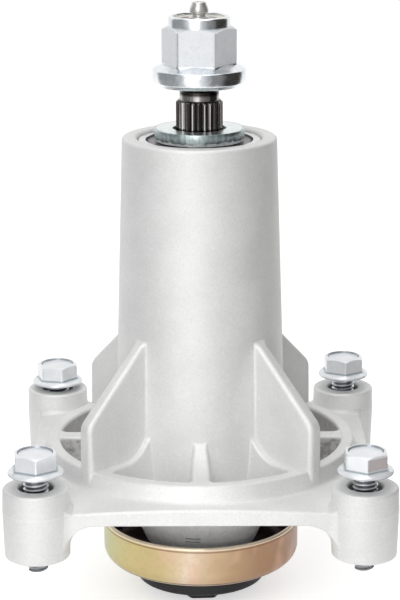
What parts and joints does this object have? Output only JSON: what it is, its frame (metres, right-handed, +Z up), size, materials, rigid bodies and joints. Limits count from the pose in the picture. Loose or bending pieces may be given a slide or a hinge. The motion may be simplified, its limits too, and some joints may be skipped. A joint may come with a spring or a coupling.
{
  "type": "mower deck spindle",
  "caption": "Ribbed cast housing with a square bolt flange, carrying a splined shaft in ball bearings, with a flange nut on top and a dust cup and star blade seat below.",
  "frame": {"origin": "on the spin axis, in the plane of the four boss bottoms that sit on the deck", "axes": "+Z up the spin axis towards the pulley nut, X and Y along the sides of the square flange"},
  "size_m": [0.1228, 0.1228, 0.1968],
  "materials": {
    "cast_aluminium": "as cast, matte, pale",
    "zinc_steel": "bright zinc plated",
    "black_steel": "black oxide, machined spline",
    "bearing_steel": "ground",
    "ball_steel": "polished",
    "cage_nylon": "moulded",
    "insert_nylon": "moulded, cream",
    "seal_rubber": "moulded, dark",
    "yellow_zinc": "yellow passivated zinc"
  },
  "bodies": {
    "housing": {"housing": "cast_aluminium", "mounting_bolts": "zinc_steel", "upper_bearing_outer_ring": "bearing_steel", "upper_bearing_seal": "seal_rubber", "lower_bearing_outer_ring": "bearing_steel", "lower_bearing_seal": "seal_rubber"},
    "spindle": {"spindle_shaft": "black_steel", "upper_bearing_inner_ring": "bearing_steel", "lower_bearing_inner_ring": "bearing_steel", "bearing_spacer": "bearing_steel", "top_washer": "zinc_steel", "pulley_nut": "zinc_steel", "nut_insert": "insert_nylon", "dust_cup": "yellow_zinc", "grease_fitting": "zinc_steel", "grease_spring": "bearing_steel"},
    "upper_cage": {"upper_bearing_balls": "ball_steel", "upper_bearing_cage": "cage_nylon"},
    "lower_cage": {"lower_bearing_balls": "ball_steel", "lower_bearing_cage": "cage_nylon"},
    "check_ball": {"grease_check_ball": "ball_steel"}
  },
  "joints": [
    {"name": "spindle_spin", "type": "hinge", "parent": "housing", "child": "spindle", "pos_m": [0, 0, 0], "axis": [0, 0, 1], "continuous": true},
    {"name": "upper_cage_spin", "type": "hinge", "parent": "housing", "child": "upper_cage", "pos_m": [0, 0, 0], "axis": [0, 0, 1], "continuous": true},
    {"name": "lower_cage_spin", "type": "hinge", "parent": "housing", "child": "lower_cage", "pos_m": [0, 0, 0], "axis": [0, 0, 1], "continuous": true},
    {"name": "check_ball_press", "type": "slide", "parent": "spindle", "child": "check_ball", "axis": [0, 0, -1], "range_m": [0, 0.0007], "stiffness_N_per_m": 200, "springref_m": -0.001, "deforming": ["grease_spring"]}
  ],
  "couplings": [
    {"joint": "upper_cage_spin", "follows": "spindle_spin", "ratio": 0.38163},
    {"joint": "lower_cage_spin", "follows": "spindle_spin", "ratio": 0.38163}
  ]
}
